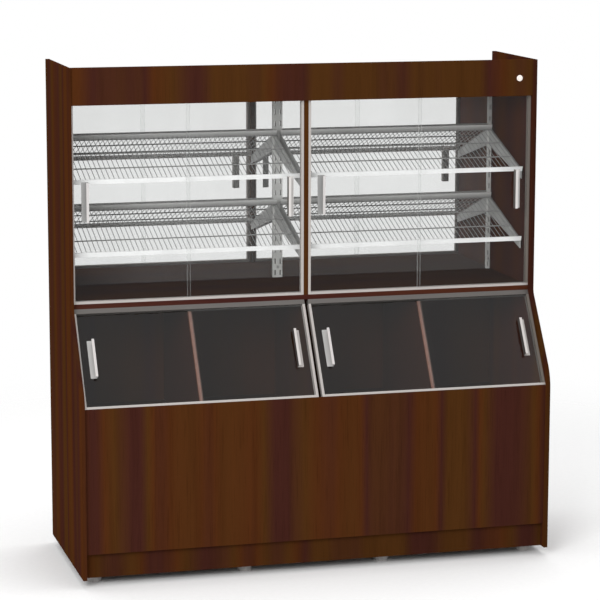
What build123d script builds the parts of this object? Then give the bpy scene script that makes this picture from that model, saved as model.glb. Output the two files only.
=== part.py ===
# Bread display case: a wood-board cabinet with a glazed upper display, sloped glazed bins below,
# sliding glass panes, a mirror back, tilted wire shelves and a switched lamp.
# Millimetres. X runs along the width, -Y is the customer side, Z is up, the floor is z = 0.
import os
from math import atan2, cos, degrees, hypot, radians, sin

from build123d import *

os.makedirs("parts", exist_ok=True)

# Overall sizes
CASE_W = 1500.0
CASE_D = 560.0
FOOT_H = 27.0
PANEL_H = 1543.0
BOARD_T = 15.0
SIDE_T = 12.0

# Side profile
UPPER_D = 393.0
SLOPE_TOP_Z = 828.0
SLOPE_BOTTOM_Z = 585.0
SLOPE_TOP_R = 40.0
SLOPE_BOTTOM_R = 140.0

# Boards
HEADER_H = 114.0
HEADER_INSET = 6.0
DECK_TOP_Z = 847.0
BASE_INSET = 12.0
FRONT_PANEL_TOP_Z = 556.0
FRONT_PANEL_BOTTOM_Z = 104.0
TOE_INSET = 30.0
BIN_FLOOR_TOP_Z = 457.0
BACK_T = 9.0
BACK_INSET = 4.0
MIRROR_T = 4.0
DIVIDER_CLEAR = 1.0
BATTEN_DEPTH = 45.0
BATTEN_H = 18.0
BATTEN_NOSE = 21.0
POST_T = 15.0
LOWER_FRAME_GAP = 12.0

# Door frames: an extrusion with three ribs and two grooves
FRAME_WEB = 2.0
RIB_T = 2.0
GROOVE_W = 6.0
SILL_H = 7.5
HEAD_H = 15.5
JAMB_W = 8.0

# Sliding panes
GLASS_T = 4.0
PANE_LIFT = 7.0
PANE_FLOOR_CLEAR = 0.3
PANE_SIDE_CLEAR = 1.0
PANE_OVERLAP = 12.0

# Pulls glued to the panes
PULL_L = 123.0
PULL_W = 20.0
PULL_T = 2.0
PULL_H = 20.0
PULL_LIP = 8.0
PULL_OFFSET = 32.5

# Slotted uprights
UPRIGHT_D = 6.0
UPRIGHT_T = 1.5
UPRIGHT_W = 12.0
UPRIGHT_CENTRE_W = 32.0
UPRIGHT_SIDE_GAP = 6.0
SLOT_W = 4.0
SLOT_H = 17.0
SLOT_PITCH = 37.5
SLOT_ABOVE_DECK = 7.0
SLOT_BELOW_CEILING = 25.0
SLOT_COLUMN_X = 8.5

# Bracket arms
ARM_T = 2.5
ARM_REAR_H = 54.0
ARM_FRONT_H = 25.0
ARM_TIP_INSET = 2.0
ARM_HOOK_L = 4.0
ARM_HOOK_H = 10.0
SHELF_TILT = 19.0

# Wire shelves: each level counts the slots from the lowest one
SHELF_UPPER_SLOT = 12
SHELF_LOWER_SLOT = 6
SHELF_ABOVE_SLOT = 12.0
SHELF_REAR_GAP = 17.0
SHELF_FRONT_GAP = 8.1
SHELF_CENTRE_GAP = 6.0
SHELF_SIDE_GAP = 10.0
WIRE_R = 1.0
WIRE_PITCH = 15.0
CROSS_WIRE_R = 2.0
CROSS_WIRE_DROP = 2.0
CROSS_WIRE_COUNT = 2
SHELF_BAR_T = 3.0
SHELF_REAR_BAR_UP = 16.0
SHELF_FRONT_BAR_UP = 11.0

# Feet
FOOT_R_TOP = 24.0
FOOT_R_BOTTOM = 22.0
FOOT_SIDE_INSET = 50.0
FOOT_INNER_SHARE = 0.3186
FOOT_FRONT_INSET = 95.0
FOOT_REAR_INSET = 44.0
STRINGER_W = 40.0

# Lamp and its switch
LAMP_END_GAP = 45.0
LAMP_W = 24.0
LAMP_H = 14.0
LAMP_WALL = 1.5
LAMP_POST_GAP = 5.0
LAMP_DIFFUSER_T = 3.0
SWITCH_SIDE_INSET = 57.0
SWITCH_TOP_INSET = 58.0
SWITCH_FLANGE_R = 9.5
SWITCH_FLANGE_T = 1.5
SWITCH_BARREL_R = 7.5
SWITCH_BARREL_L = 30.0
SWITCH_HOLE_CLEAR = 0.3
BUTTON_R = 5.5
BUTTON_PROUD = 3.5
BUTTON_L = 16.0
BUTTON_TRAVEL = 2.0
BUTTON_CLEAR = 0.25
CABLE_R = 2.5
CABLE_HOLE_CLEAR = 0.75
CABLE_BEND_R = 12.0

# Screws
SCREW_R = 1.8
SCREW_HEAD_R = 3.6
SCREW_HEAD_H = 2.2
SCREW_L = 16.0
SCREW_CLEAR = 0.3
PILOT_CLEAR = 0.05

# Derived planes
HALF_W = CASE_W / 2
IN_X = HALF_W - SIDE_T
REAR_Y = CASE_D / 2
FRONT_Y = -CASE_D / 2
UPPER_FRONT_Y = REAR_Y - UPPER_D
PANEL_BOTTOM_Z = FOOT_H
TOP_Z = FOOT_H + PANEL_H
HEADER_BOTTOM_Z = TOP_Z - HEADER_H
HEADER_FRONT_Y = UPPER_FRONT_Y + HEADER_INSET
FRAME_FRONT_Y = HEADER_FRONT_Y + BOARD_T
FRAME_D = 3 * RIB_T + 2 * GROOVE_W
UPPER_FRAME_H = HEADER_BOTTOM_Z + HEAD_H - DECK_TOP_Z
CEILING_Z = DECK_TOP_Z + UPPER_FRAME_H
DECK_BOTTOM_Z = DECK_TOP_Z - BOARD_T
BASE_FRONT_Y = FRONT_Y + BASE_INSET
BACK_FRONT_Y = REAR_Y - BACK_INSET - BACK_T
MIRROR_FACE_Y = BACK_FRONT_Y - MIRROR_T
SLOPE_RUN = FRAME_FRONT_Y - BASE_FRONT_Y
SLOPE_RISE = DECK_BOTTOM_Z - FRONT_PANEL_TOP_Z
SLOPE_ANGLE = degrees(atan2(SLOPE_RUN, SLOPE_RISE))
LOWER_FRAME_H = hypot(SLOPE_RUN, SLOPE_RISE)
SLOPE_SIN = sin(radians(SLOPE_ANGLE))
SLOPE_COS = cos(radians(SLOPE_ANGLE))
TOE_FRONT_Y = FRONT_Y + TOE_INSET
FRAME_REAR_Y = FRAME_FRONT_Y + FRAME_D
POST_REAR_Y = FRAME_REAR_Y + BOARD_T
SWITCH_X = HALF_W - SWITCH_SIDE_INSET
SWITCH_Z = TOP_Z - SWITCH_TOP_INSET
LAMP_L = 2 * (IN_X - LAMP_END_GAP)
LAMP_REAR_Y = POST_REAR_Y + LAMP_POST_GAP + LAMP_W
SLOT_FIRST_Z = DECK_TOP_Z + SLOT_ABOVE_DECK
SLOT_COUNT = int((CEILING_Z - SLOT_BELOW_CEILING - SLOT_FIRST_Z) // SLOT_PITCH) + 1
SHELF_UPPER_Z = SLOT_FIRST_Z + SHELF_UPPER_SLOT * SLOT_PITCH + SHELF_ABOVE_SLOT
SHELF_LOWER_Z = SLOT_FIRST_Z + SHELF_LOWER_SLOT * SLOT_PITCH + SHELF_ABOVE_SLOT
SHELF_REAR_Y = MIRROR_FACE_Y - SHELF_REAR_GAP
SHELF_L = (SHELF_REAR_Y - POST_REAR_Y - SHELF_FRONT_GAP) / cos(radians(SHELF_TILT))
FOOT_OUTER_X = HALF_W - FOOT_SIDE_INSET
FOOT_INNER_X = FOOT_OUTER_X * FOOT_INNER_SHARE
FOOT_X = (-FOOT_OUTER_X, -FOOT_INNER_X, FOOT_INNER_X, FOOT_OUTER_X)
FOOT_FRONT_Y = FRONT_Y + FOOT_FRONT_INSET
FOOT_REAR_Y = REAR_Y - FOOT_REAR_INSET


def block(x0, x1, y0, y1, z0, z1):
    """A box between two corners."""
    return Pos(x0, y0, z0) * Box(x1 - x0, y1 - y0, z1 - z0, align=(Align.MIN, Align.MIN, Align.MIN))


def board_yz(points, x0, x1):
    """A board cut to a side profile, from x0 to x1."""
    face = Plane.YZ * make_face(Polyline(*points, close=True))
    return Pos(x0, 0, 0) * extrude(face, amount=x1 - x0, dir=(1, 0, 0))


def rod_y(x, z, r, y0, y1):
    """A cylinder along Y."""
    return Pos(x, (y0 + y1) / 2, z) * Rot(90, 0, 0) * Cylinder(r, abs(y1 - y0))


def save(shape, node):
    export_step(shape, f"parts/{node}.step")


def save_group(solids, node):
    export_step(Compound(children=list(solids)), f"parts/{node}.step")


def edge_at(shape, y, z):
    """The edge along X that passes through (y, z)."""
    return [e for e in shape.edges().filter_by(Axis.X)
            if abs(e.center().Y - y) < 0.01 and abs(e.center().Z - z) < 0.01]


# Side panels: upright at the top, sloped past the bins, upright again at the base
side_points = [
    (REAR_Y, PANEL_BOTTOM_Z), (REAR_Y, TOP_Z), (UPPER_FRONT_Y, TOP_Z),
    (UPPER_FRONT_Y, SLOPE_TOP_Z), (FRONT_Y, SLOPE_BOTTOM_Z), (FRONT_Y, PANEL_BOTTOM_Z),
]
side = board_yz(side_points, -HALF_W, -IN_X)
side = fillet(edge_at(side, UPPER_FRONT_Y, SLOPE_TOP_Z), SLOPE_TOP_R)
side = fillet(edge_at(side, FRONT_Y, SLOPE_BOTTOM_Z), SLOPE_BOTTOM_R)
save(side, "side_panel_left")
save(Pos(CASE_W - SIDE_T, 0, 0) * side, "side_panel_right")

# Header with the switch hole
header = block(-IN_X, IN_X, HEADER_FRONT_Y, FRAME_FRONT_Y, HEADER_BOTTOM_Z, TOP_Z)
header -= rod_y(SWITCH_X, SWITCH_Z, SWITCH_BARREL_R + SWITCH_HOLE_CLEAR,
                HEADER_FRONT_Y - BOARD_T, FRAME_FRONT_Y + BOARD_T)
save(header, "header_board")

# Ceiling board with the cable hole over the lamp
lamp_y = LAMP_REAR_Y - LAMP_W / 2
ceiling = block(-IN_X, IN_X, FRAME_FRONT_Y, BACK_FRONT_Y, CEILING_Z, CEILING_Z + BOARD_T)
ceiling -= Pos(SWITCH_X - CABLE_BEND_R * 2, lamp_y, CEILING_Z) * Cylinder(
    CABLE_R + CABLE_HOLE_CLEAR, BOARD_T * 3)
save(ceiling, "top_panel")

# Deck between the display and the bins
save(block(-IN_X, IN_X, FRAME_FRONT_Y, BACK_FRONT_Y, DECK_BOTTOM_Z, DECK_TOP_Z), "deck_panel")

# Uprights: places of their screws, used for the holes in the mirror and the back as well
side_upright_x = IN_X - UPRIGHT_SIDE_GAP - UPRIGHT_W / 2
upright_x = (-side_upright_x, 0.0, side_upright_x)
screw_z = [SLOT_FIRST_Z + i * SLOT_PITCH + (SLOT_H + SLOT_PITCH) / 2
           for i in (0, SLOT_COUNT // 2, SLOT_COUNT - 1)]
screw_spots = [(x, z) for x in upright_x for z in screw_z]

back = block(-IN_X, IN_X, BACK_FRONT_Y, BACK_FRONT_Y + BACK_T, FRONT_PANEL_BOTTOM_Z, CEILING_Z + BOARD_T)
mirror = block(-IN_X, IN_X, MIRROR_FACE_Y, BACK_FRONT_Y, DECK_TOP_Z, CEILING_Z)
for sx, sz in screw_spots:
    back -= rod_y(sx, sz, SCREW_R + PILOT_CLEAR, BACK_FRONT_Y - BACK_T, BACK_FRONT_Y + 2 * BACK_T)
    mirror -= rod_y(sx, sz, SCREW_R + SCREW_CLEAR, MIRROR_FACE_Y - MIRROR_T, BACK_FRONT_Y + MIRROR_T)
save(back, "back_panel")
save(mirror, "mirror_back")

# Post between the upper frames, a board on edge
save(block(-POST_T / 2, POST_T / 2, FRAME_FRONT_Y, POST_REAR_Y, DECK_TOP_Z, CEILING_Z), "centre_post")

# Base boards
front_back_y = BASE_FRONT_Y + BOARD_T
bevel_drop = BOARD_T * SLOPE_SIN / SLOPE_COS
save(board_yz([(BASE_FRONT_Y, FRONT_PANEL_BOTTOM_Z), (BASE_FRONT_Y, FRONT_PANEL_TOP_Z),
               (front_back_y, FRONT_PANEL_TOP_Z - bevel_drop), (front_back_y, FRONT_PANEL_BOTTOM_Z)],
              -IN_X, IN_X), "front_panel")
save(block(-IN_X, IN_X, TOE_FRONT_Y, TOE_FRONT_Y + BOARD_T, PANEL_BOTTOM_Z, FRONT_PANEL_BOTTOM_Z), "toe_kick")
save(block(-IN_X, IN_X, front_back_y, BACK_FRONT_Y, FRONT_PANEL_BOTTOM_Z,
           FRONT_PANEL_BOTTOM_Z + BOARD_T), "bottom_panel")
stringer_rear_y = BACK_FRONT_Y
save_group([block(x - STRINGER_W / 2, x + STRINGER_W / 2, TOE_FRONT_Y + BOARD_T, stringer_rear_y,
                  PANEL_BOTTOM_Z, FRONT_PANEL_BOTTOM_Z) for x in FOOT_X], "plinth_stringers")

# Batten under the deck that the sloped head tracks are screwed to
tip = (FRAME_FRONT_Y, DECK_BOTTOM_Z)
nose = FRAME_D + 1.0
batten_rear_y = FRAME_FRONT_Y + BATTEN_DEPTH
batten_low_z = DECK_BOTTOM_Z - BATTEN_H
save(board_yz([tip, (batten_rear_y, DECK_BOTTOM_Z), (batten_rear_y, batten_low_z),
               (batten_rear_y - BATTEN_NOSE, batten_low_z),
               (tip[0] + nose * SLOPE_COS, tip[1] - nose * SLOPE_SIN)], -IN_X, IN_X), "lower_head_batten")

# Partition and dividers: the front edge runs behind the sloped frames
frame_back = (BASE_FRONT_Y + (FRAME_D + DIVIDER_CLEAR) * SLOPE_COS,
              FRONT_PANEL_TOP_Z - (FRAME_D + DIVIDER_CLEAR) * SLOPE_SIN)


def slope_y(z):
    """Y of the plane just behind the sloped frames, at height z."""
    return frame_back[0] + (z - frame_back[1]) * SLOPE_SIN / SLOPE_COS


def bin_wall_points(bottom_z):
    low_y = front_back_y
    knee_z = frame_back[1] + (low_y - frame_back[0]) * SLOPE_COS / SLOPE_SIN
    return [(low_y, bottom_z), (low_y, knee_z), (slope_y(batten_low_z), batten_low_z),
            (batten_rear_y, batten_low_z), (batten_rear_y, DECK_BOTTOM_Z),
            (BACK_FRONT_Y, DECK_BOTTOM_Z), (BACK_FRONT_Y, bottom_z)]


base_floor_z = FRONT_PANEL_BOTTOM_Z + BOARD_T
half_t = BOARD_T / 2
bay_centre_x = (IN_X + LOWER_FRAME_GAP / 2) / 2
save(board_yz(bin_wall_points(base_floor_z), -half_t, half_t), "centre_partition")
for name, sign in (("left", -1), ("right", 1)):
    x0, x1 = sorted((sign * half_t, sign * IN_X))
    save(block(x0, x1, front_back_y, BACK_FRONT_Y, BIN_FLOOR_TOP_Z - BOARD_T, BIN_FLOOR_TOP_Z),
         f"bin_floor_{name}")
    xc = sign * bay_centre_x
    save(board_yz(bin_wall_points(BIN_FLOOR_TOP_Z), xc - half_t, xc + half_t), f"bin_divider_{name}")

# Door openings: local X as in the case, local Y from the frame's front inwards, local Z up the pane
place_upper = Pos(0, FRAME_FRONT_Y, DECK_TOP_Z)
place_lower = Pos(0, BASE_FRONT_Y, FRONT_PANEL_TOP_Z) * Rot(-SLOPE_ANGLE, 0, 0)
groove_front = RIB_T + GROOVE_W / 2
groove_rear = groove_front + GROOVE_W + RIB_T
ribs = [i * (RIB_T + GROOVE_W) for i in range(3)]


def sill(x0, x1):
    body = block(x0, x1, 0, FRAME_D, 0, FRAME_WEB)
    for r in ribs:
        body += block(x0, x1, r, r + RIB_T, 0, SILL_H)
    return body


def head(x0, x1, height):
    body = block(x0, x1, 0, FRAME_D, height - FRAME_WEB, height)
    for r in ribs:
        body += block(x0, x1, r, r + RIB_T, height - HEAD_H, height)
    return body


def jamb(x_outer, sign, height):
    """Sign +1 opens towards +X."""
    z0, z1 = SILL_H, height - HEAD_H
    xa, xb = sorted((x_outer, x_outer + sign * FRAME_WEB))
    body = block(xa, xb, 0, FRAME_D, z0, z1)
    xa, xb = sorted((x_outer, x_outer + sign * JAMB_W))
    for r in ribs:
        body += block(xa, xb, r, r + RIB_T, z0, z1)
    return body


def pull(x_outer, sign, y_glass, z_mid):
    """A channel pull glued to the glass from x_outer inwards; its lip points back to the jamb."""
    z0, z1 = z_mid - PULL_L / 2, z_mid + PULL_L / 2
    x_web = x_outer + sign * PULL_W

    def strip(width, y0, y1):
        xa, xb = sorted((x_web, x_web - sign * width))
        return block(xa, xb, y0, y1, z0, z1)
    body = strip(PULL_W, y_glass - PULL_T, y_glass)
    body += strip(PULL_T, y_glass - PULL_H, y_glass)
    return body + strip(PULL_LIP, y_glass - PULL_H, y_glass - PULL_H + PULL_T)


bays = (
    ("upper_left", place_upper, UPPER_FRAME_H, -IN_X, -POST_T / 2),
    ("upper_right", place_upper, UPPER_FRAME_H, POST_T / 2, IN_X),
    ("lower_left", place_lower, LOWER_FRAME_H, -IN_X, -LOWER_FRAME_GAP / 2),
    ("lower_right", place_lower, LOWER_FRAME_H, LOWER_FRAME_GAP / 2, IN_X),
)
jambs = {"upper": [], "lower": []}
for bay, place, height, x0, x1 in bays:
    save(place * sill(x0, x1), f"{bay}_sill_track")
    save(place * head(x0, x1, height), f"{bay}_head_track")
    jambs[bay.split("_")[0]] += [place * jamb(x0, 1, height), place * jamb(x1, -1, height)]
    clear_x0 = x0 + FRAME_WEB + PANE_SIDE_CLEAR
    clear_x1 = x1 - FRAME_WEB - PANE_SIDE_CLEAR
    pane_w = (clear_x1 - clear_x0 + PANE_OVERLAP) / 2
    pane_z0 = FRAME_WEB + PANE_FLOOR_CLEAR
    pane_z1 = height - FRAME_WEB - PANE_LIFT
    panes = (
        ("left", clear_x0, groove_rear, x0 + PULL_OFFSET, 1),
        ("right", clear_x1 - pane_w, groove_front, x1 - PULL_OFFSET, -1),
    )
    for hand, px, py, pull_x, sign in panes:
        face_y = py - GLASS_T / 2
        save(place * block(px, px + pane_w, face_y, face_y + GLASS_T, pane_z0, pane_z1), f"{bay}_pane_{hand}")
        save(place * pull(pull_x, sign, face_y, height / 2), f"{bay}_pull_{hand}")
for level, solids in jambs.items():
    save_group(solids, f"{level}_jambs")


# Slotted uprights, open towards the mirror
def upright(xc, width, columns):
    x0, x1 = xc - width / 2, xc + width / 2
    y0 = MIRROR_FACE_Y - UPRIGHT_D
    body = block(x0, x1, y0, MIRROR_FACE_Y, DECK_TOP_Z, CEILING_Z)
    body -= block(x0 + UPRIGHT_T, x1 - UPRIGHT_T, y0 + UPRIGHT_T, MIRROR_FACE_Y, DECK_TOP_Z, CEILING_Z)
    cuts = []
    for col in columns:
        for i in range(SLOT_COUNT):
            z = SLOT_FIRST_Z + i * SLOT_PITCH
            cuts.append(block(xc + col - SLOT_W / 2, xc + col + SLOT_W / 2,
                              y0 - UPRIGHT_T, y0 + 2 * UPRIGHT_T, z, z + SLOT_H))
    for z in screw_z:
        cuts.append(rod_y(xc, z, SCREW_R + SCREW_CLEAR, y0 - UPRIGHT_T, y0 + 2 * UPRIGHT_T))
    return body - cuts


save(upright(upright_x[0], UPRIGHT_W, (0.0,)), "upright_left")
save(upright(0.0, UPRIGHT_CENTRE_W, (-SLOT_COLUMN_X, SLOT_COLUMN_X)), "upright_centre")
save(upright(upright_x[2], UPRIGHT_W, (0.0,)), "upright_right")

upright_face_y = MIRROR_FACE_Y - UPRIGHT_D
screws = []
for sx, sz in screw_spots:
    shank = rod_y(sx, sz, SCREW_R, upright_face_y, upright_face_y + SCREW_L)
    screws.append(shank + rod_y(sx, sz, SCREW_HEAD_R, upright_face_y - SCREW_HEAD_H, upright_face_y))
save_group(screws, "upright_screws")

# Bracket arms: flat tapered plates whose hooks sit in the slots
tilt_sin, tilt_cos = sin(radians(SHELF_TILT)), cos(radians(SHELF_TILT))
rest_drop = CROSS_WIRE_DROP + CROSS_WIRE_R


def arm(xc, wire_z):
    """The arm's top edge touches the cross wires of a shelf whose wires start at wire_z."""
    def under(y, extra=0.0):
        # height of the line that the cross wires rest on
        along = (SHELF_REAR_Y - y) / tilt_cos
        return wire_z - along * tilt_sin - rest_drop / tilt_cos - extra
    root_y = upright_face_y
    tip_y = SHELF_REAR_Y - (SHELF_L - ARM_TIP_INSET) * tilt_cos
    top_root = under(root_y)
    plate = board_yz([(root_y, top_root), (tip_y, under(tip_y)), (tip_y, under(tip_y) - ARM_FRONT_H),
                      (root_y, top_root - ARM_REAR_H)], xc - ARM_T / 2, xc + ARM_T / 2)
    first = int((top_root - ARM_REAR_H - SLOT_FIRST_Z) // SLOT_PITCH) + 1
    for i in range(first, first + 2):
        z = SLOT_FIRST_Z + i * SLOT_PITCH
        if z + ARM_HOOK_H < top_root:
            plate += block(xc - ARM_T / 2, xc + ARM_T / 2, root_y - ARM_T, root_y + ARM_HOOK_L,
                           z, z + ARM_HOOK_H)
    return plate


arm_x = (upright_x[0], -SLOT_COLUMN_X, SLOT_COLUMN_X, upright_x[2])
save_group([arm(x, z) for z in (SHELF_UPPER_Z, SHELF_LOWER_Z) for x in arm_x], "shelf_brackets")

# Wire shelves: rods from back to front, two cross wires, a bar along each long edge
shelf_w = IN_X - SHELF_CENTRE_GAP - SHELF_SIDE_GAP
bar_low = -rest_drop
shelf = block(0, shelf_w, -SHELF_BAR_T, 0, bar_low, SHELF_REAR_BAR_UP)
shelf += block(0, shelf_w, -SHELF_L, -SHELF_L + SHELF_BAR_T, bar_low, SHELF_FRONT_BAR_UP)
wire_count = int((shelf_w - 2 * WIRE_R) // WIRE_PITCH) + 1
first_x = (shelf_w - (wire_count - 1) * WIRE_PITCH) / 2
cross_pitch = SHELF_L / (CROSS_WIRE_COUNT + 1)
cross = [Pos(shelf_w / 2, -(i + 1) * cross_pitch, -CROSS_WIRE_DROP) * Rot(0, 90, 0)
         * Cylinder(CROSS_WIRE_R, shelf_w) for i in range(CROSS_WIRE_COUNT)]
wires = [rod_y(first_x + i * WIRE_PITCH, 0, WIRE_R, -SHELF_L + SHELF_BAR_T / 2, -SHELF_BAR_T / 2)
         for i in range(wire_count)]
shelf = shelf + cross + wires
for level, z in (("upper", SHELF_UPPER_Z), ("lower", SHELF_LOWER_Z)):
    for hand, x in (("left", -IN_X + SHELF_SIDE_GAP), ("right", SHELF_CENTRE_GAP)):
        save(Pos(x, SHELF_REAR_Y, z) * Rot(SHELF_TILT, 0, 0) * shelf, f"shelf_{level}_{hand}")

# Feet
foot = Pos(0, 0, FOOT_H / 2) * Cone(FOOT_R_BOTTOM, FOOT_R_TOP, FOOT_H)
save_group([Pos(x, y, 0) * foot for x in FOOT_X for y in (FOOT_FRONT_Y, FOOT_REAR_Y)], "levelling_feet")

# Lamp under the ceiling board, hidden by the header
lamp_y0, lamp_y1 = LAMP_REAR_Y - LAMP_W, LAMP_REAR_Y
lamp_z0, lamp_z1 = CEILING_Z - LAMP_H, CEILING_Z
lamp = block(-LAMP_L / 2, LAMP_L / 2, lamp_y0, lamp_y1, lamp_z0, lamp_z1)
lamp -= block(-LAMP_L / 2 + LAMP_WALL, LAMP_L / 2 - LAMP_WALL, lamp_y0 + LAMP_WALL, lamp_y1 - LAMP_WALL,
              lamp_z0 - LAMP_WALL, lamp_z1 - LAMP_WALL)
save(lamp, "lamp_body")
save(block(-LAMP_L / 2 + LAMP_WALL, LAMP_L / 2 - LAMP_WALL, lamp_y0 + LAMP_WALL, lamp_y1 - LAMP_WALL,
           lamp_z0, lamp_z0 + LAMP_DIFFUSER_T), "lamp_diffuser")

# Switch: a barrel through the header, a sprung button in its bore
barrel_end_y = HEADER_FRONT_Y + SWITCH_BARREL_L
bore_r = BUTTON_R + BUTTON_CLEAR
switch = rod_y(SWITCH_X, SWITCH_Z, SWITCH_FLANGE_R, HEADER_FRONT_Y - SWITCH_FLANGE_T, HEADER_FRONT_Y)
switch += rod_y(SWITCH_X, SWITCH_Z, SWITCH_BARREL_R, HEADER_FRONT_Y - SWITCH_FLANGE_T, barrel_end_y)
button_face_y = HEADER_FRONT_Y - SWITCH_FLANGE_T - BUTTON_PROUD
button_end_y = button_face_y + BUTTON_L
switch -= rod_y(SWITCH_X, SWITCH_Z, bore_r, button_face_y, button_end_y + BUTTON_TRAVEL + BUTTON_CLEAR)
save(switch, "switch_body")
save(rod_y(SWITCH_X, SWITCH_Z, BUTTON_R, button_face_y, button_end_y), "switch_button")

# Cable from the switch over the ceiling board and down to the lamp
drop_x = SWITCH_X - CABLE_BEND_R * 2
path = FilletPolyline((SWITCH_X, barrel_end_y, SWITCH_Z), (SWITCH_X, lamp_y, SWITCH_Z),
                      (drop_x, lamp_y, SWITCH_Z), (drop_x, lamp_y, CEILING_Z), radius=CABLE_BEND_R - 1.0)
cable = sweep(Plane(origin=path @ 0, z_dir=path % 0) * Circle(CABLE_R), path=path)
save(cable, "switch_cable")
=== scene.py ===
import math
import bpy
from mathutils import Matrix, Vector

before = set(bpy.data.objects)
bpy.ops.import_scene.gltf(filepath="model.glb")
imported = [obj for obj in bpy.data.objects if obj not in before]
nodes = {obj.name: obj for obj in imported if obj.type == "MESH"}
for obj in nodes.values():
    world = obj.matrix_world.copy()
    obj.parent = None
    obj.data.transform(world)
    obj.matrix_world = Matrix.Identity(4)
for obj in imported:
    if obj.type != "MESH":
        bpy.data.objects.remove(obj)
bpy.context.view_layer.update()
scene = bpy.context.scene
scene.view_settings.view_transform = "Standard"
scene.view_settings.look = "None"
scene.view_settings.exposure = 0.0
scene.view_settings.gamma = 1.0

# Directions in the frame
X_AXIS = (1.0, 0.0, 0.0)
TO_FRONT = (0.0, -1.0, 0.0)
SLOPE_RUN, SLOPE_RISE = 0.176, 0.276
SLOPE_ANGLE = math.atan2(SLOPE_RUN, SLOPE_RISE)
SLOPE_OUT = (0.0, -math.cos(SLOPE_ANGLE), math.sin(SLOPE_ANGLE))
SHELF_TILT = math.radians(19.0)
SHELF_OUT = (0.0, -math.cos(SHELF_TILT), -math.sin(SHELF_TILT))
SHELF_UP = (0.0, -math.sin(SHELF_TILT), math.cos(SHELF_TILT))

# The colour sockets of Blender's Mix node
MIX_A, MIX_B, MIX_RESULT = 6, 7, 2


def grey(value):
    return (value, value, value)


class Mat:
    """A node material with a Principled shader, and short helpers for its nodes."""

    def __init__(self, name):
        self.material = bpy.data.materials.new(name)
        self.material.use_nodes = True
        self.tree = self.material.node_tree
        self.tree.nodes.clear()
        self.out = self.node("ShaderNodeOutputMaterial")
        self.p = self.node("ShaderNodeBsdfPrincipled")
        self.link(self.p.outputs[0], self.out.inputs[0])
        self.coord = self.node("ShaderNodeTexCoord")

    def node(self, kind):
        return self.tree.nodes.new(kind)

    def link(self, a, b):
        self.tree.links.new(a, b)

    def put(self, value, socket):
        """A number goes on the socket itself; anything else is linked to it."""
        if isinstance(value, (int, float)):
            socket.default_value = value
        else:
            self.link(value, socket)

    def mapping(self, scale, offset=(0, 0, 0)):
        n = self.node("ShaderNodeMapping")
        n.inputs["Scale"].default_value = scale
        n.inputs["Location"].default_value = offset
        self.link(self.coord.outputs["Object"], n.inputs["Vector"])
        return n.outputs[0]

    def noise(self, vec, detail=2.0, rough=0.5, distortion=0.0):
        n = self.node("ShaderNodeTexNoise")
        n.inputs["Scale"].default_value = 1.0
        n.inputs["Detail"].default_value = detail
        n.inputs["Roughness"].default_value = rough
        n.inputs["Distortion"].default_value = distortion
        self.link(vec, n.inputs["Vector"])
        return n.outputs[0]

    def ramp(self, fac, *stops):
        """Colours, or greys given as one number, at places along 0 to 1."""
        n = self.node("ShaderNodeValToRGB")
        elements = n.color_ramp.elements
        while len(elements) < len(stops):
            elements.new(0.5)
        for element, (place, tone) in zip(elements, stops):
            element.position = place
            element.color = (*(tone if isinstance(tone, tuple) else grey(tone)), 1.0)
        self.link(fac, n.inputs[0])
        return n.outputs[0]

    def mix(self, fac, a, b, mode="MIX"):
        n = self.node("ShaderNodeMix")
        n.data_type = "RGBA"
        n.blend_type = mode
        self.put(fac, n.inputs[0])
        for socket, value in ((n.inputs[MIX_A], a), (n.inputs[MIX_B], b)):
            if isinstance(value, tuple):
                socket.default_value = (*value, 1.0)
            else:
                self.link(value, socket)
        return n.outputs[MIX_RESULT]

    def times(self, a, b):
        return self.mix(1.0, a, b, "MULTIPLY")

    def math(self, op, *values):
        n = self.node("ShaderNodeMath")
        n.operation = op
        for value, socket in zip(values, n.inputs):
            self.put(value, socket)
        return n.outputs[0]

    def more(self, value, limit):
        return self.math("GREATER_THAN", value, limit)

    def less(self, value, limit):
        return self.math("LESS_THAN", value, limit)

    def fade(self, value, low, high, kind="LINEAR"):
        """0 at low and 1 at high."""
        n = self.node("ShaderNodeMapRange")
        n.interpolation_type = kind
        n.inputs["From Min"].default_value = low
        n.inputs["From Max"].default_value = high
        self.link(value, n.inputs["Value"])
        return n.outputs[0]

    def geometry(self, output):
        return self.node("ShaderNodeNewGeometry").outputs[output]

    def dot(self, vec, direction):
        n = self.node("ShaderNodeVectorMath")
        n.operation = "DOT_PRODUCT"
        n.inputs[1].default_value = direction
        self.link(vec, n.inputs[0])
        return n.outputs["Value"]

    def along(self, direction):
        """How far a point lies along a direction, in the object's own space."""
        return self.dot(self.coord.outputs["Object"], direction)

    def facing(self, direction):
        """The share of the face's normal that lies along a direction."""
        return self.dot(self.geometry("True Normal"), direction)

    def turned(self, direction):
        """The same share, whichever side of the face looks along the direction."""
        return self.math("ABSOLUTE", self.facing(direction))

    def bump(self, height, strength, distance):
        n = self.node("ShaderNodeBump")
        n.inputs["Strength"].default_value = strength
        n.inputs["Distance"].default_value = distance
        self.link(height, n.inputs["Height"])
        self.link(n.outputs[0], self.p.inputs["Normal"])

    def clear(self):
        return self.node("ShaderNodeBsdfTransparent")

    def gloss(self):
        """A perfect reflection."""
        n = self.node("ShaderNodeBsdfGlossy")
        n.inputs["Roughness"].default_value = 0.0
        n.inputs["Color"].default_value = (1, 1, 1, 1)
        return n

    def blend(self, fac, a, b):
        """Shader a at 0, shader b at 1."""
        n = self.node("ShaderNodeMixShader")
        self.put(fac, n.inputs[0])
        self.link(a, n.inputs[1])
        self.link(b, n.inputs[2])
        return n.outputs[0]


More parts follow.
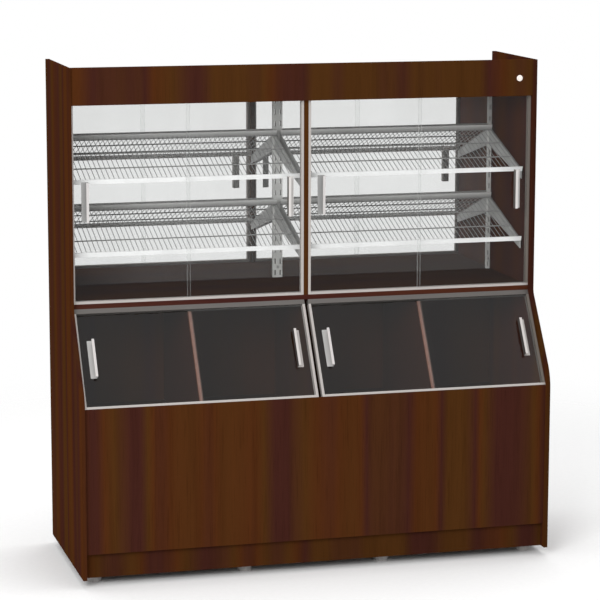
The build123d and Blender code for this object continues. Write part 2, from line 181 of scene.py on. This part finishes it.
# Wood: three tones in broad bands, darker or lighter streaks and fine pores
ORANGE = (0.0640, 0.0195, 0.0056)
OLIVE = (0.0600, 0.0225, 0.0058)
PLUM = (0.0440, 0.0132, 0.0092)
BANDS = ((0.34, PLUM), (0.43, OLIVE), (0.50, ORANGE), (0.56, PLUM), (0.63, OLIVE))
STREAKS = ((0.30, (0.87, 0.86, 0.87)), (0.52, 1.0), (0.72, (1.06, 1.05, 1.03)))
PORES = ((0.32, (0.62, 0.60, 0.58)), (0.46, 1.0))
PORE_SHARE = 0.45
GRAIN = {"X": (0.10, 1.0, 1.0), "Z": (1.0, 1.0, 0.06)}


def wood(name, along, offset, tint=None, edge=1.0, right_edge_shade=None, front=1.0):
    """Dark laminate. along is the axis of the grain; the bands cross it.
    edge is the tone of the board's cut edges, and right_edge_shade the darker tone they take
    instead on the +X half, a painted shade. front scales the faces towards the customer, a
    painted light on a lit front face."""
    m = Mat(name)

    def spread(scale, slack):
        stretch = GRAIN[along]
        return m.mapping(tuple(scale * v if v == 1.0 else scale * v * slack for v in stretch),
                         offset)

    band = m.noise(spread(4.8, 0.25), 1.5, 0.45, 0.1)
    streak = m.noise(spread(38.0, 0.5), 4.0, 0.6, 0.3)
    pore = m.noise(spread(420.0, 0.35), 2.0, 0.55)
    col = m.times(m.ramp(band, *BANDS), m.ramp(streak, *STREAKS))
    col = m.mix(PORE_SHARE, col, m.times(col, m.ramp(pore, *PORES)))
    if tint:
        col = m.times(col, tint)
    if edge != 1.0:
        tone = grey(edge)
        # On the +X half the cut edges are painted darker: painted shade
        if right_edge_shade:
            tone = m.mix(m.more(m.along(X_AXIS), 0.0), tone, grey(right_edge_shade))
        cut = m.less(m.turned(X_AXIS), 0.5)
        col = m.mix(cut, col, m.times(col, tone))
    # Faces towards the customer are scaled: on the deck, a painted light on its lit front face
    if front != 1.0:
        ahead = m.more(m.facing(TO_FRONT), 0.5)
        col = m.mix(ahead, col, m.times(col, grey(front)))
    m.link(col, m.p.inputs["Base Color"])
    m.link(m.ramp(pore, (0.3, 0.66), (0.6, 0.52)), m.p.inputs["Roughness"])
    m.p.inputs["Specular IOR Level"].default_value = 0.0
    m.bump(pore, 0.08, 0.0003)
    return m.material


# Where the dividers' front edges stand, half way along each lower bay: there the divider gets a
# painted highlight, and elsewhere it is painted dark as shade
BAY_INNER_X, BAY_OUTER_X = 0.006, 0.738
DIVIDER_X = (BAY_OUTER_X + BAY_INNER_X) / 2
LIT_EDGE_HALF_W = 0.0047
DIVIDER_BODY_SHADE = ((0.3, (0.030, 0.0095, 0.0050)), (0.6, (0.040, 0.0130, 0.0066)))
LIT_EDGE_TONES = ((0.3, (0.20, 0.105, 0.082)), (0.6, (0.25, 0.130, 0.100)))


def divider_wood(name, outward):
    """A bin divider: a board painted dark as shade, with a painted highlight on its lit front
    edge behind the panes.
    """
    m = Mat(name)
    pore = m.noise(m.mapping((300.0, 300.0, 20.0)), 2.0, 0.55)
    # The lit front edge, facing outward near DIVIDER_X, gets the painted highlight; the rest of
    # the board is painted shade
    front = m.more(m.facing(outward), 0.9)
    off = m.math("SUBTRACT", m.math("ABSOLUTE", m.along(X_AXIS)), DIVIDER_X)
    strip = m.less(m.math("ABSOLUTE", off), LIT_EDGE_HALF_W)
    lit_edge_mask = m.math("MULTIPLY", front, strip)
    col = m.mix(lit_edge_mask, m.ramp(pore, *DIVIDER_BODY_SHADE), m.ramp(pore, *LIT_EDGE_TONES))
    m.link(col, m.p.inputs["Base Color"])
    m.p.inputs["Roughness"].default_value = 0.6
    m.p.inputs["Specular IOR Level"].default_value = 0.0
    m.bump(pore, 0.08, 0.0003)
    return m.material


DRAWN = {"X": (2.0, 900.0, 900.0), "Y": (900.0, 2.0, 900.0), "Z": (900.0, 900.0, 2.0)}
RIGHT_END_X = 0.7


def metal(name, color, rough, along, metallic=0.3, spec=0.3, right_shade=None):
    """Extruded or drawn metal with fine lines along it.
    The colour given for the right end is multiplied in beyond RIGHT_END_X, a painted shade on
    the right-hand jambs."""
    m = Mat(name)
    line = m.noise(m.mapping(DRAWN[along]))
    soft = m.noise(m.mapping(grey(6.0)))
    tones = ((0.3, tuple(c * 0.90 for c in color)),
             (0.7, tuple(min(1.0, c * 1.06) for c in color)))
    col = m.mix(0.25, m.ramp(line, *tones), m.ramp(soft, *tones))
    # Beyond RIGHT_END_X the metal is painted darker: painted shade on the right-hand jambs
    if right_shade:
        end = m.more(m.along(X_AXIS), RIGHT_END_X)
        col = m.mix(end, col, m.times(col, right_shade))
    m.link(col, m.p.inputs["Base Color"])
    m.link(m.ramp(line, (0.3, rough * 1.15), (0.7, rough * 0.88)), m.p.inputs["Roughness"])
    m.p.inputs["Metallic"].default_value = metallic
    m.p.inputs["Specular IOR Level"].default_value = spec
    m.bump(line, 0.05, 0.0002)
    return m.material


FINE_SCALE, BROAD_SCALE = 1400.0, 14.0
MOTTLE = 0.06


def paint(name, color, rough):
    """Powder coat or moulded plastic: a fine texture and faint unevenness."""
    m = Mat(name)
    fine = m.noise(m.mapping(grey(FINE_SCALE)), 1.0)
    broad = m.noise(m.mapping(grey(BROAD_SCALE)), 3.0)
    tones = ((0.3, tuple(c * (1 - MOTTLE) for c in color)),
             (0.7, tuple(min(1.0, c * (1 + MOTTLE)) for c in color)))
    m.link(m.ramp(broad, *tones), m.p.inputs["Base Color"])
    m.link(m.ramp(fine, (0.3, rough * 1.1), (0.7, rough * 0.9)), m.p.inputs["Roughness"])
    m.p.inputs["Specular IOR Level"].default_value = 0.3
    m.bump(fine, 0.1, 0.00015)
    return m.material


GLASS_CLEAR = ((0.3, (0.962, 0.965, 0.963)), (0.7, (0.975, 0.978, 0.976)))


def glass(name, normal, ior, edge_share, edge_low, edge_high):
    """Clear float glass; the ground edges, whose normal leaves the pane's own, are paler."""
    m = Mat(name)
    smear = m.noise(m.mapping((9.0, 9.0, 3.0)), 3.0)
    clear = m.clear()
    m.link(m.ramp(smear, *GLASS_CLEAR), clear.inputs[0])
    fresnel = m.node("ShaderNodeFresnel")
    fresnel.inputs[0].default_value = ior
    # Light isn't bent inside the pane, so only the outer side of a face may mirror
    outer = m.math("SUBTRACT", 1.0, m.geometry("Backfacing"))
    shine = m.math("MULTIPLY", fresnel.outputs[0], outer)
    body = m.blend(shine, clear.outputs[0], m.gloss().outputs[0])
    grit = m.noise(m.mapping(grey(700.0)))
    m.link(m.ramp(grit, (0.3, edge_low), (0.7, edge_high)), m.p.inputs["Base Color"])
    m.p.inputs["Roughness"].default_value = 0.35
    ground = m.blend(edge_share, clear.outputs[0], m.p.outputs[0])
    on_edge = m.less(m.turned(normal), 0.6)
    m.link(m.blend(on_edge, body, ground), m.out.inputs[0])
    return m.material


MIRROR_VEIL = 0.09


def mirror(name):
    """Silvered glass with a faint veil of dust on it."""
    m = Mat(name)
    haze = m.noise(m.mapping(grey(5.0)), 3.0)
    gloss = m.gloss()
    m.link(m.ramp(haze, (0.3, 0.875), (0.7, 0.905)), gloss.inputs["Color"])
    m.link(m.ramp(haze, (0.3, 0.72), (0.7, 0.80)), m.p.inputs["Base Color"])
    m.p.inputs["Roughness"].default_value = 0.8
    m.p.inputs["Specular IOR Level"].default_value = 0.0
    m.link(m.blend(MIRROR_VEIL, gloss.outputs[0], m.p.outputs[0]), m.out.inputs[0])
    return m.material


def reach(node, direction):
    """How far a node's points lie along a direction: the least and the most."""
    d = Vector(direction)
    far = [d.dot(v.co) for v in nodes[node].data.vertices]
    return min(far), max(far)


def pull_metal(node, outward, plate, web, lip):
    """Satin aluminium pull: the plate on the glass, the web that stands on it and the lip in
    front, each with its own tone of painted light and shade."""
    m = Mat(f"metal_{node}")
    low, high = reach(node, outward)
    line = m.noise(m.mapping((900.0, 900.0, 6.0)))
    front = m.more(m.along(outward), (low + high) / 2)
    side = m.more(m.turned(X_AXIS), 0.5)
    # Plate, web and lip take their own tones of painted light and shade
    col = m.mix(side, m.mix(front, plate, lip), web)
    m.link(m.times(col, m.ramp(line, (0.3, 0.93), (0.7, 1.05))), m.p.inputs["Base Color"])
    m.p.inputs["Metallic"].default_value = 0.15
    m.p.inputs["Specular IOR Level"].default_value = 0.2
    m.link(m.ramp(line, (0.3, 0.46), (0.7, 0.36)), m.p.inputs["Roughness"])
    m.bump(line, 0.05, 0.0002)
    return m.material


# The shelf is white paint all over; the wires and the rear bar are painted grey as shade
SHELF_WIRE_SHADE = (0.29, 0.29, 0.285)
SHELF_FRONT = (0.95, 0.95, 0.95)
SHELF_REAR_SHADE_TOP = (0.66, 0.66, 0.65)
SHELF_REAR_SHADE_FOOT = (0.26, 0.26, 0.255)
SHELF_BAR_DEPTH = 0.0035


def shelf_paint(node):
    """White front bar; the wires and the rear bar are painted grey as shade, the rear bar paler
    towards its top and its painted shade deepest at its foot.
    """
    m = Mat(f"paint_{node}")
    rear_end, front_end = reach(node, SHELF_OUT)
    low, high = reach(node, SHELF_UP)
    place = m.along(SHELF_OUT)
    front = m.more(place, front_end - SHELF_BAR_DEPTH)
    rear = m.less(place, rear_end + SHELF_BAR_DEPTH)
    climb = m.fade(m.along(SHELF_UP), low, high)
    rear_shade = m.ramp(climb, (0.1, SHELF_REAR_SHADE_FOOT), (0.9, SHELF_REAR_SHADE_TOP))
    # Painted shade on the wires and the rear bar; the front bar keeps the white paint
    col = m.mix(rear, m.mix(front, SHELF_WIRE_SHADE, SHELF_FRONT), rear_shade)
    fine = m.noise(m.mapping(grey(FINE_SCALE)), 1.0)
    broad = m.noise(m.mapping(grey(BROAD_SCALE)), 3.0)
    m.link(m.times(col, m.ramp(broad, (0.3, 0.95), (0.7, 1.04))), m.p.inputs["Base Color"])
    m.link(m.ramp(fine, (0.3, 0.40), (0.7, 0.32)), m.p.inputs["Roughness"])
    m.p.inputs["Specular IOR Level"].default_value = 0.3
    m.bump(fine, 0.1, 0.00015)
    return m.material


def give(mat, *names):
    for name in names:
        o = nodes[name]
        if o.material_slots:
            for s in o.material_slots:
                s.material = mat
        else:
            o.data.materials.append(mat)


# Boards
# The boards inside the case are painted darker than those outside, as shade; the deck's face
# towards the customer is lifted again, a painted light where the light reaches it
DECK_AT, INNER_AT = (0.0, 0.3, 0.0), (0.1, 0.5, 0.2)
DECK_SHADE, INNER_SHADE = (0.62, 0.62, 0.75), (0.72, 0.72, 0.8)
# The right-hand panel's cut edges carry painted shade
give(wood("wood_side", "Z", (0.0, 0.71, 0.0), grey(1.15), edge=0.75, right_edge_shade=0.63),
     "side_panel_left", "side_panel_right")
give(wood("wood_header", "Z", (0.62, 0.0, 0.4)), "header_board")
give(wood("wood_front", "Z", (0.35, 0.0, 0.0)), "front_panel")
give(wood("wood_toe", "Z", (0.35, 0.2, 0.3), grey(0.95)), "toe_kick")
give(wood("wood_deck_edge", "X", DECK_AT, DECK_SHADE, front=1.9), "deck_panel")
give(wood("wood_deck", "X", DECK_AT, DECK_SHADE),
     "top_panel", "bottom_panel", "bin_floor_left", "bin_floor_right", "lower_head_batten")
give(wood("wood_inner", "Z", INNER_AT, INNER_SHADE), "back_panel", "plinth_stringers")
# The centre partition's cut edges are painted nearly black: a painted shadow on its front edge,
# set back in the gap between the bays
give(wood("wood_gap", "Z", INNER_AT, INNER_SHADE, edge=0.22), "centre_partition")
give(wood("wood_post", "Z", (0.3, 0.5, 0.2), (1.05, 1.0, 0.95)), "centre_post")
give(divider_wood("wood_divider", SLOPE_OUT), "bin_divider_left", "bin_divider_right")

# Aluminium frames: one aluminium, painted a little darker on the lower frames and much darker on
# the lower head tracks as shade, and darker again on the right-hand jambs, also painted shade
UPPER_ALU = (0.46, 0.425, 0.405)
LOWER_ALU = (0.44, 0.41, 0.39)
# The lower head tracks are painted much darker: painted shadow under the deck
HEAD_ALU_SHADED = (0.125, 0.115, 0.108)
RIGHT_SHADE = (0.45, 0.43, 0.40)
FRAME_ROUGH = 0.42
give(metal("frame_upper_x", UPPER_ALU, FRAME_ROUGH, "X"),
     "upper_left_sill_track", "upper_right_sill_track",
     "upper_left_head_track", "upper_right_head_track")
give(metal("frame_lower_x", LOWER_ALU, FRAME_ROUGH, "X"),
     "lower_left_sill_track", "lower_right_sill_track")
give(metal("frame_head_x", HEAD_ALU_SHADED, FRAME_ROUGH, "X"),
     "lower_left_head_track", "lower_right_head_track")
give(metal("frame_upper_z", UPPER_ALU, FRAME_ROUGH, "Z", right_shade=RIGHT_SHADE), "upper_jambs")
give(metal("frame_lower_z", LOWER_ALU, FRAME_ROUGH, "Z", right_shade=RIGHT_SHADE), "lower_jambs")

# Panes and pulls; the tones are those of a pull's plate, web and lip, painted light and shade on
# one aluminium: lit faces paler, shaded faces darker, and the dark web on the right-hand pulls a
# painted shadow
OUTWARD = {"upper": TO_FRONT, "lower": SLOPE_OUT}
PANES = {
    "upper": glass("glass_upper", TO_FRONT, 1.30, 0.62,
                   (0.66, 0.67, 0.665), (0.80, 0.81, 0.805)),
    "lower": glass("glass_lower", SLOPE_OUT, 1.43, 0.18,
                   (0.34, 0.28, 0.26), (0.44, 0.37, 0.34)),
}
PULL_LIGHT_AND_SHADE = {
    ("upper", "left"): ((0.33, 0.33, 0.325), (0.26, 0.25, 0.24), (0.58, 0.56, 0.55)),
    ("lower", "left"): ((0.44, 0.43, 0.42), (0.34, 0.33, 0.32), (0.56, 0.53, 0.52)),
    ("upper", "right"): ((0.62, 0.60, 0.58), (0.11, 0.10, 0.09), (0.66, 0.63, 0.61)),
    ("lower", "right"): ((0.50, 0.47, 0.45), (0.08, 0.07, 0.065), (0.56, 0.53, 0.51)),
}
for (level, hand), tones in PULL_LIGHT_AND_SHADE.items():
    for bay in ("left", "right"):
        give(PANES[level], f"{level}_{bay}_pane_{hand}")
        pull = f"{level}_{bay}_pull_{hand}"
        give(pull_metal(pull, OUTWARD[level], *tones), pull)

# Inside of the display
give(mirror("mirror_back"), "mirror_back")
give(paint("fitting_paint", (0.64, 0.64, 0.625), 0.45),
     "upright_left", "upright_centre", "upright_right")
give(paint("bracket_paint", (0.46, 0.46, 0.455), 0.45), "shelf_brackets")
give(metal("screw_steel", (0.6, 0.6, 0.6), 0.3, "Y", metallic=1.0, spec=0.5), "upright_screws")
for shelf in ("shelf_upper_left", "shelf_upper_right", "shelf_lower_left", "shelf_lower_right"):
    give(shelf_paint(shelf), shelf)

# Feet, lamp and switch
give(paint("foot_plastic", (0.40, 0.385, 0.375), 0.5), "levelling_feet")
give(paint("lamp_paint", (0.75, 0.75, 0.75), 0.4), "lamp_body")
give(paint("lamp_diffuser", (0.85, 0.85, 0.83), 0.3), "lamp_diffuser")
give(paint("switch_white", (0.98, 0.89, 0.84), 0.3), "switch_body", "switch_button")
give(paint("cable_sheath", (0.03, 0.03, 0.03), 0.5), "switch_cable")

# Camera: a pinhole fitted to the photograph
YAW, PITCH, ROLL = math.radians(15.22), math.radians(9.81), math.radians(0.11)
FOCAL_PX = 2467.06
IMAGE_PX = 600.0
SENSOR_MM = 36.0
CAMERA_AT = (-2.01703, -7.43545, 2.14651)
ahead = Vector((math.sin(YAW) * math.cos(PITCH), math.cos(YAW) * math.cos(PITCH),
                -math.sin(PITCH)))
level_right = Vector((math.cos(YAW), -math.sin(YAW), 0.0))
level_up = level_right.cross(ahead)
cam_right = level_right * math.cos(ROLL) + level_up * math.sin(ROLL)
cam_up = -level_right * math.sin(ROLL) + level_up * math.cos(ROLL)
cam_data = bpy.data.cameras.new("camera")
cam_data.sensor_width = SENSOR_MM
cam_data.lens = FOCAL_PX * SENSOR_MM / IMAGE_PX
cam_data.clip_end = 200.0
cam = bpy.data.objects.new("camera", cam_data)
scene.collection.objects.link(cam)
pose = Matrix((cam_right, cam_up, -ahead)).transposed().to_4x4()
pose.translation = Vector(CAMERA_AT)
cam.matrix_world = pose
scene.camera = cam

# Floor: pale, fading into the white surroundings away from the object
FLOOR_HALF = 6.0
FLOOR_SOLID_TO, FLOOR_GONE_AT = 1.3, 3.2
floor_mat = Mat("floor")
length = floor_mat.node("ShaderNodeVectorMath")
length.operation = "LENGTH"
floor_mat.link(floor_mat.geometry("Position"), length.inputs[0])
gone = floor_mat.fade(length.outputs["Value"], FLOOR_SOLID_TO, FLOOR_GONE_AT, "SMOOTHERSTEP")
grain = floor_mat.noise(floor_mat.mapping(grey(60.0)))
floor_mat.link(floor_mat.ramp(grain, (0.3, 0.90), (0.7, 0.92)), floor_mat.p.inputs["Base Color"])
floor_mat.p.inputs["Roughness"].default_value = 0.9
floor_mat.p.inputs["Specular IOR Level"].default_value = 0.0
seen_floor = floor_mat.blend(gone, floor_mat.p.outputs[0], floor_mat.clear().outputs[0])
floor_mat.link(seen_floor, floor_mat.out.inputs[0])
corners = [(-FLOOR_HALF, -FLOOR_HALF, 0), (FLOOR_HALF, -FLOOR_HALF, 0),
           (FLOOR_HALF, FLOOR_HALF, 0), (-FLOOR_HALF, FLOOR_HALF, 0)]
mesh = bpy.data.meshes.new("floor")
mesh.from_pydata(corners, [], [(0, 1, 2, 3)])
mesh.materials.append(floor_mat.material)
floor = bpy.data.objects.new("floor", mesh)
scene.collection.objects.link(floor)

# Surroundings: white where they are seen or mirrored, a softer fill as light
FILL = 0.62
world = bpy.data.worlds.new("world")
world.use_nodes = True
sky = world.node_tree
sky.nodes.clear()
path = sky.nodes.new("ShaderNodeLightPath")


def sky_light(strength):
    n = sky.nodes.new("ShaderNodeBackground")
    n.inputs[0].default_value = (1, 1, 1, 1)
    n.inputs[1].default_value = strength
    return n.outputs[0]


def either(a, b):
    n = sky.nodes.new("ShaderNodeMath")
    n.operation = "MAXIMUM"
    sky.links.new(a, n.inputs[0])
    sky.links.new(b, n.inputs[1])
    return n.outputs[0]


direct = either(path.outputs["Is Camera Ray"], path.outputs["Is Glossy Ray"])
through = either(direct, path.outputs["Is Transmission Ray"])
chosen = sky.nodes.new("ShaderNodeMixShader")
sky.links.new(through, chosen.inputs[0])
sky.links.new(sky_light(FILL), chosen.inputs[1])
sky.links.new(sky_light(1.0), chosen.inputs[2])
sky_out = sky.nodes.new("ShaderNodeOutputWorld")
sky.links.new(chosen.outputs[0], sky_out.inputs[0])
scene.world = world

# Lights, aimed at the middle of the case
AIM = Vector((0, 0, 0.8))


def area(name, place, size, power):
    data = bpy.data.lights.new(name, "AREA")
    data.shape = "RECTANGLE"
    data.size, data.size_y = size
    data.energy = power
    o = bpy.data.objects.new(name, data)
    scene.collection.objects.link(o)
    o.location = place
    o.rotation_euler = (AIM - Vector(place)).to_track_quat("-Z", "Y").to_euler()
    o.visible_glossy = False
    o.visible_camera = False


area("key", (-3.3, -4.8, 3.1), (3.0, 2.4), 235.0)
area("top", (0.4, 0.3, 5.0), (4.0, 4.0), 140.0)
